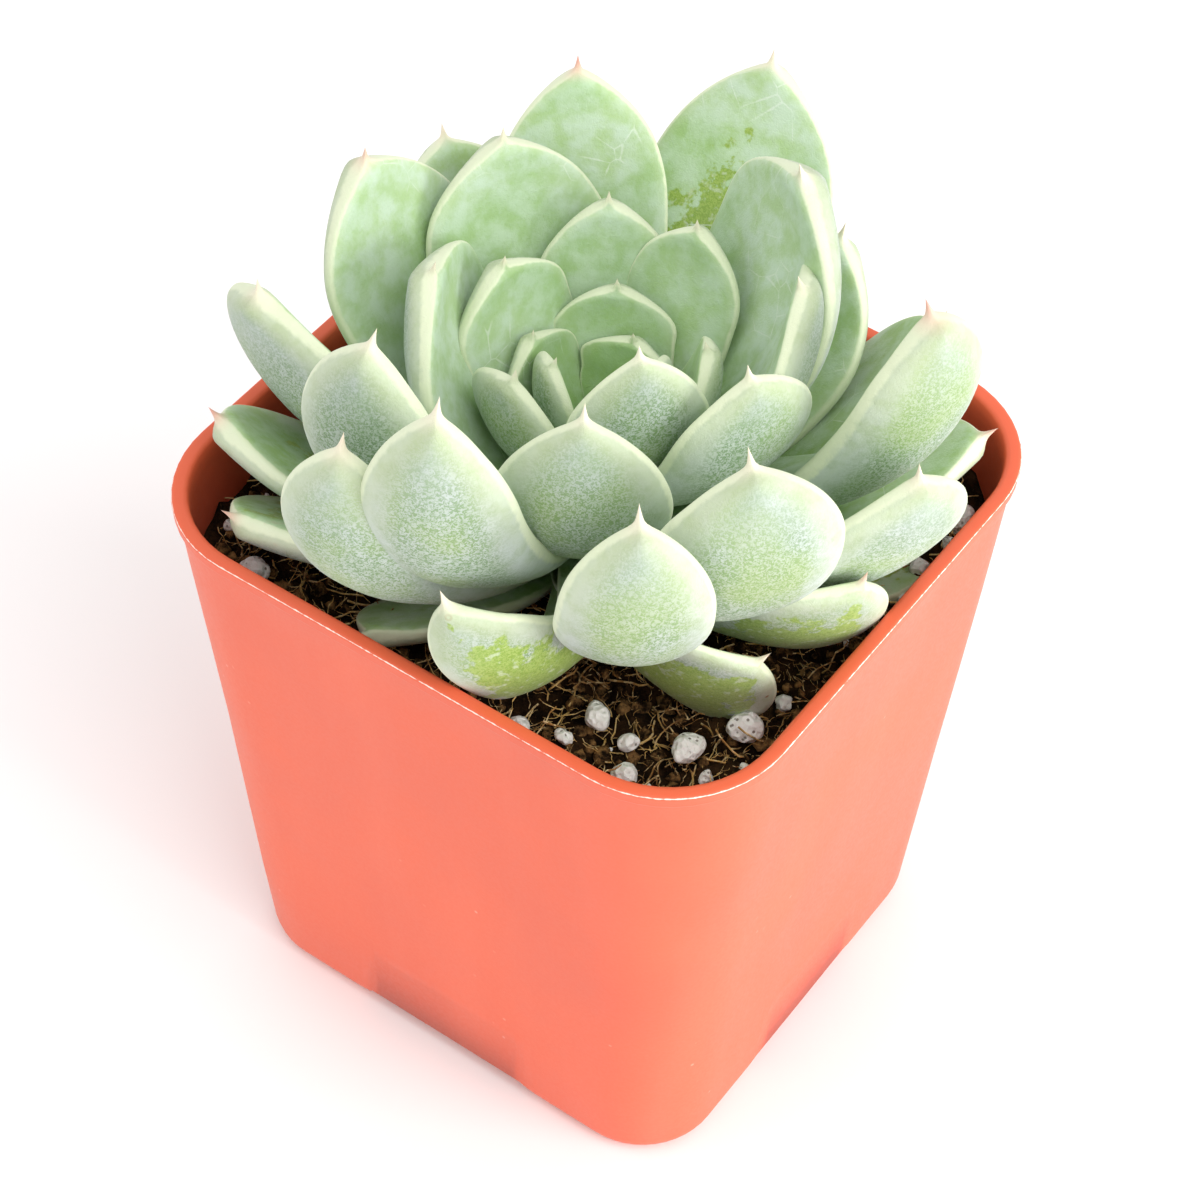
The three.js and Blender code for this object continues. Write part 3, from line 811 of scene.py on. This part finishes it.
# What sets single leaves apart from the rest. Lower, curl, roll and swing are degrees, and a positive swing
# turns the leaf anticlockwise as seen from above. Rubbed is how much bloom is worn off, and blush how pink
# the tip is, both from 0 to 1.
LEAF_TRAITS = {
    "leaf_04": {"longer": 1.6, "broader": 1.35},
    "leaf_07": {"broader": 1.2},
    "leaf_09": {"longer": 1.12, "swing": 6, "broader": 0.9},
    "leaf_10": {"roll": -12, "broader": 1.2, "lower": 5},
    "leaf_11": {"longer": 0.9},
    "leaf_12": {"swing": 6, "broader": 1.35},
    "leaf_13": {"broader": 1.12},
    "leaf_14": {"longer": 0.93, "broader": 0.77},
    "leaf_15": {"longer": 0.80, "broader": 1.25, "roll": -8, "lower": 4},
    "leaf_17": {"swing": 16, "broader": 0.82, "lower": -2, "curl": -10, "longer": 1.10},
    "leaf_18": {"swing": -6, "broader": 1.1},
    "leaf_19": {"swing": 16, "longer": 1.04, "broader": 0.75, "lower": -9},
    "leaf_20": {"longer": 0.94, "broader": 1.18, "swing": -6},
    "leaf_21": {"broader": 0.90, "swing": -2},
    "leaf_22": {"blush": 0.6},
    "leaf_23": {"blush": 0.8, "swing": -4, "curl": 2, "roll": -8, "broader": 0.76, "lower": 2, "longer": 1.04},
    "leaf_24": {"blush": 0.9, "longer": 1.04, "broader": 0.85},
    "leaf_25": {"rubbed": 0.3, "swing": -6, "longer": 1.18, "broader": 1.02},
    "leaf_27": {"swing": 14, "longer": 1.18, "broader": 0.82, "lower": -8},
    "leaf_28": {"longer": 1.02, "broader": 1.25, "lower": 0, "roll": 24, "swing": 4},
    "leaf_30": {"swing": -4, "longer": 1.08, "broader": 1.08},
    "leaf_31": {"rubbed": 0.5, "blush": 0.6, "lower": 1, "roll": -24, "broader": 1.25},
    "leaf_32": {"lower": -4},
    "leaf_34": {"rubbed": 0.2, "blush": 0.9, "lower": 8},
    "leaf_35": {
        "rubbed": 0.52, "blush": 0.2, "curl": 14, "roll": 54, "longer": 1.12, "broader": 1.05, "swing": 5,
        "lower": -4,
    },
    "leaf_36": {
        "rubbed": 0.60, "blush": 0.3, "curl": 18, "roll": -54, "longer": 1.10, "broader": 1.75, "swing": -3,
    },
    "leaf_37": {"lower": -14, "longer": 1.04, "broader": 1.15, "blush": 0.7},
    "leaf_39": {"rubbed": 0.5, "blush": 0.7, "curl": 12, "roll": 16, "broader": 1.45},
    "leaf_40": {"rubbed": 0.55, "blush": 0.5, "curl": 16},
    "leaf_41": {"curl": 25, "roll": 15},
}


def make_leaves():
    skin = leaf_skin()
    names = sorted(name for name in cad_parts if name.startswith("leaf_"))
    for i, name in enumerate(names):
        make_leaf(name, (i + 0.5) / len(names), LEAF_TRAITS.get(name, {}), skin)


# ---- stock, soil and perlite ----


def soil_halves():
    """Half the soil's width and depth at its top."""
    up = 1 - SOIL_BELOW_RIM / POT_HEIGHT
    half_x = (BASE_WIDTH + (RIM_WIDTH - BASE_WIDTH) * up) / 2 - WALL
    half_y = (BASE_DEPTH + (RIM_DEPTH - BASE_DEPTH) * up) / 2 - WALL
    return half_x, half_y


def soil_level(x, y):
    """The soil's height here: a shallow dish with low bumps, as its CAD solid has."""
    half_x, half_y = soil_halves()
    share = min(max(abs(x) / half_x, abs(y) / half_y), 1)
    level = POT_HEIGHT - SOIL_BELOW_RIM - SOIL_DISH * (1 - share * share)
    bumps = math.sin(0.71 * x + 0.4) * math.cos(0.63 * y) + 0.7 * math.sin(1.27 * y - 0.58 * x + 1.9)
    return level + SOIL_BUMP * bumps


def make_stem():
    bm = merged_copy("stem")
    bmesh.ops.subdivide_edges(bm, edges=bm.edges, cuts=1, use_grid_fill=True)
    for vert in bm.verts:
        push = noise.noise(vert.co * 900) * 0.15 * MM
        vert.co.x += push * math.copysign(1, vert.co.x)
        vert.co.y += push * math.copysign(1, vert.co.y)
    stem = finished("stock", bm)
    rounded(stem, 1)
    part_of_plant(stem, "stem", stock_bark(), "stem")


def make_soil(dark_peat):
    low = FOOT_RISE + FLOOR + CLEARANCE
    inset = WALL + 0.05
    bm = bmesh.new()
    shapes = [rounded_rectangle(low, inset + 1.2), rounded_rectangle(low + 1.2, inset)]
    edge = rounded_rectangle(POT_HEIGHT - SOIL_BELOW_RIM, inset)
    for i in range(SOIL_RINGS, 1, -1):
        share = i / SOIL_RINGS
        ring = []
        for point in edge:
            x, y = point.x * share, point.y * share
            rough = 0.55 * noise.noise(Vector((x, y, 0)) * 0.9) + 0.35 * noise.noise(Vector((x, y, 5)) * 2.3)
            ring.append(Vector((x, y, soil_level(x, y) + rough)))
        shapes.append(ring)
    bottom, top = draw_rings(bm, shapes, [(0, 0, 0)] * len(shapes))
    bmesh.ops.edgeloop_fill(bm, edges=bottom)
    bmesh.ops.edgeloop_fill(bm, edges=top)
    bmesh.ops.recalc_face_normals(bm, faces=bm.faces)
    soil = finished("peat_bed", bm)
    part_of_plant(soil, "peat", dark_peat, "soil")


def scattered(chance, margin=1.5):
    """A place on the soil, clear of the stock and the pot's corners."""
    half_x, half_y = (half - margin for half in soil_halves())
    while True:
        x, y = chance.uniform(-half_x, half_x), chance.uniform(-half_y, half_y)
        corner = max(abs(x) - half_x + CORNER_CLEAR, 0), max(abs(y) - half_y + CORNER_CLEAR, 0)
        if math.hypot(x, y) > STOCK_CLEAR and math.hypot(*corner) < CORNER_CLEAR:
            return Vector((x, y, soil_level(x, y)))


def lump_shape(chance, rounds):
    """A small crumb about one unit across."""
    bm = bmesh.new()
    bmesh.ops.create_icosphere(bm, subdivisions=rounds, radius=0.5)
    seed = Vector((chance.uniform(0, 50), chance.uniform(0, 50), 0))
    for vert in bm.verts:
        vert.co *= 1 + 0.6 * noise.noise(vert.co * 2.2 + seed)
    mesh = bpy.data.meshes.new("lump")
    bm.to_mesh(mesh)
    bm.free()
    return mesh


def fibre_shape(chance):
    """A bent shred about one unit long with three sides, closed at both ends."""
    bm = bmesh.new()
    verts = bmesh.ops.create_circle(bm, cap_ends=True, segments=3, radius=0.034)["verts"]
    edges = list({edge for vert in verts for edge in vert.link_edges})
    bend = Vector((chance.uniform(-0.12, 0.12), chance.uniform(-0.12, 0.12), 0.2))
    for i in range(5):
        grown = bmesh.ops.extrude_edge_only(bm, edges=edges)["geom"]
        verts = [item for item in grown if isinstance(item, bmesh.types.BMVert)]
        edges = [
            item for item in grown
            if isinstance(item, bmesh.types.BMEdge) and item.verts[0] in verts and item.verts[1] in verts
        ]
        bmesh.ops.translate(bm, verts=verts, vec=bend)
        bend = Matrix.Rotation(chance.uniform(-0.7, 0.7), 3, "Y") @ bend
        bend = Matrix.Rotation(chance.uniform(-0.5, 0.5), 3, "X") @ bend
    bmesh.ops.edgeloop_fill(bm, edges=edges)
    bmesh.ops.recalc_face_normals(bm, faces=bm.faces)
    mesh = bpy.data.meshes.new("fibre")
    bm.to_mesh(mesh)
    bm.free()
    return mesh


def strewn(name, shapes, count, chance, sizes, sink, flat, material, slot):
    """One piece made of many copies of a few small shapes, strewn over the soil."""
    bm = bmesh.new()
    for _ in range(count):
        size = chance.uniform(*sizes)
        place = scattered(chance, margin=0.7 + size * 0.6)
        place.z += size * sink
        tilt = chance.uniform(-flat, flat)
        turn = Matrix.Rotation(chance.uniform(0, 6.28), 4, "Z") @ Matrix.Rotation(math.pi / 2 + tilt, 4, "X")
        copy = chance.choice(shapes).copy()
        copy.transform(Matrix.Translation(place * MM) @ turn @ Matrix.Scale(size * MM, 4))
        bm.from_mesh(copy)
        bpy.data.meshes.remove(copy)
    piece = finished(name, bm)
    part_of_plant(piece, slot, material)


def make_top_dressing():
    """Crumbs and shreds of peat strewn over the bed."""
    chance = random.Random(11)
    lumps = [lump_shape(chance, 1) for _ in range(6)]
    crumb = peat("peat_crumb", (0.018, 0.009, 0.004, 1), (0.50, 0.27, 0.10, 1), 0.5)
    strewn("peat_crumbs", lumps, CRUMBS, chance, (0.5, 1.6), 0.12, 1.5, crumb, "peat")
    fibres = [fibre_shape(chance) for _ in range(8)]
    bark = fibre_bark()
    strewn("peat_fibres", fibres, FIBRES, chance, (1.0, 3.4), 0.16, 0.45, bark, "peat")
    strewn("peat_shreds", fibres, SHREDS, chance, (0.6, 1.5), 0.34, 0.9, bark, "peat")


# Smaller grains of perlite: x, y and size in millimetres
SMALL_GRAINS = [
    (11, -20.2, 1.3), (25, 8, 1.3), (22.7, -6.6, 1.2), (-24.4, -18, 1.3),
    (19, -20.5, 1.0), (22, -16.4, 1.2), (24.3, -14.8, 1.0), (24.6, 15, 1.2),
]


def make_perlite():
    crust = perlite_crust()
    names = sorted(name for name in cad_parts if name.startswith("perlite_"))
    for i, name in enumerate(names):
        bm = merged_copy(name)
        bmesh.ops.subdivide_edges(bm, edges=bm.edges, cuts=1, use_grid_fill=True, smooth=0.6)
        low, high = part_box(name)
        middle = (low + high) / 2
        for vert in bm.verts:
            out = vert.co - middle
            lump = 0.16 * noise.noise(out * 1100 + Vector((i, 0, 0))) + 0.06 * noise.noise(out * 3200)
            vert.co = middle + out * (1 + lump)
        grain_piece = finished(name.replace("perlite", "grain"), bm)
        rounded(grain_piece, 1)
        part_of_plant(grain_piece, "perlite", crust, name)
    chance = random.Random(5)
    shapes = [lump_shape(chance, 3) for _ in range(4)]
    bm = bmesh.new()
    spots = list(SMALL_GRAINS)
    for _ in range(DUST_GRAINS):
        place = scattered(chance, margin=1.6)
        spots.append((place.x, place.y, chance.uniform(0.4, 0.9)))
    for x, y, size in spots:
        place = Vector((x, y, soil_level(x, y) + 0.3 * size)) * MM
        copy = chance.choice(shapes).copy()
        turn = Matrix.Rotation(chance.uniform(0, 6), 4, "Z")
        copy.transform(Matrix.Translation(place) @ turn @ Matrix.Scale(size * MM, 4))
        bm.from_mesh(copy)
        bpy.data.meshes.remove(copy)
    part_of_plant(finished("perlite_dust", bm), "perlite", crust)


studio_camera()
studio_light()
studio_floor()
make_pot()
dark_peat = peat("peat_mix", (0.010, 0.005, 0.002, 1), (0.055, 0.026, 0.010, 1), 0.8)
make_soil(dark_peat)
make_stem()
make_top_dressing()
make_perlite()
make_leaves()
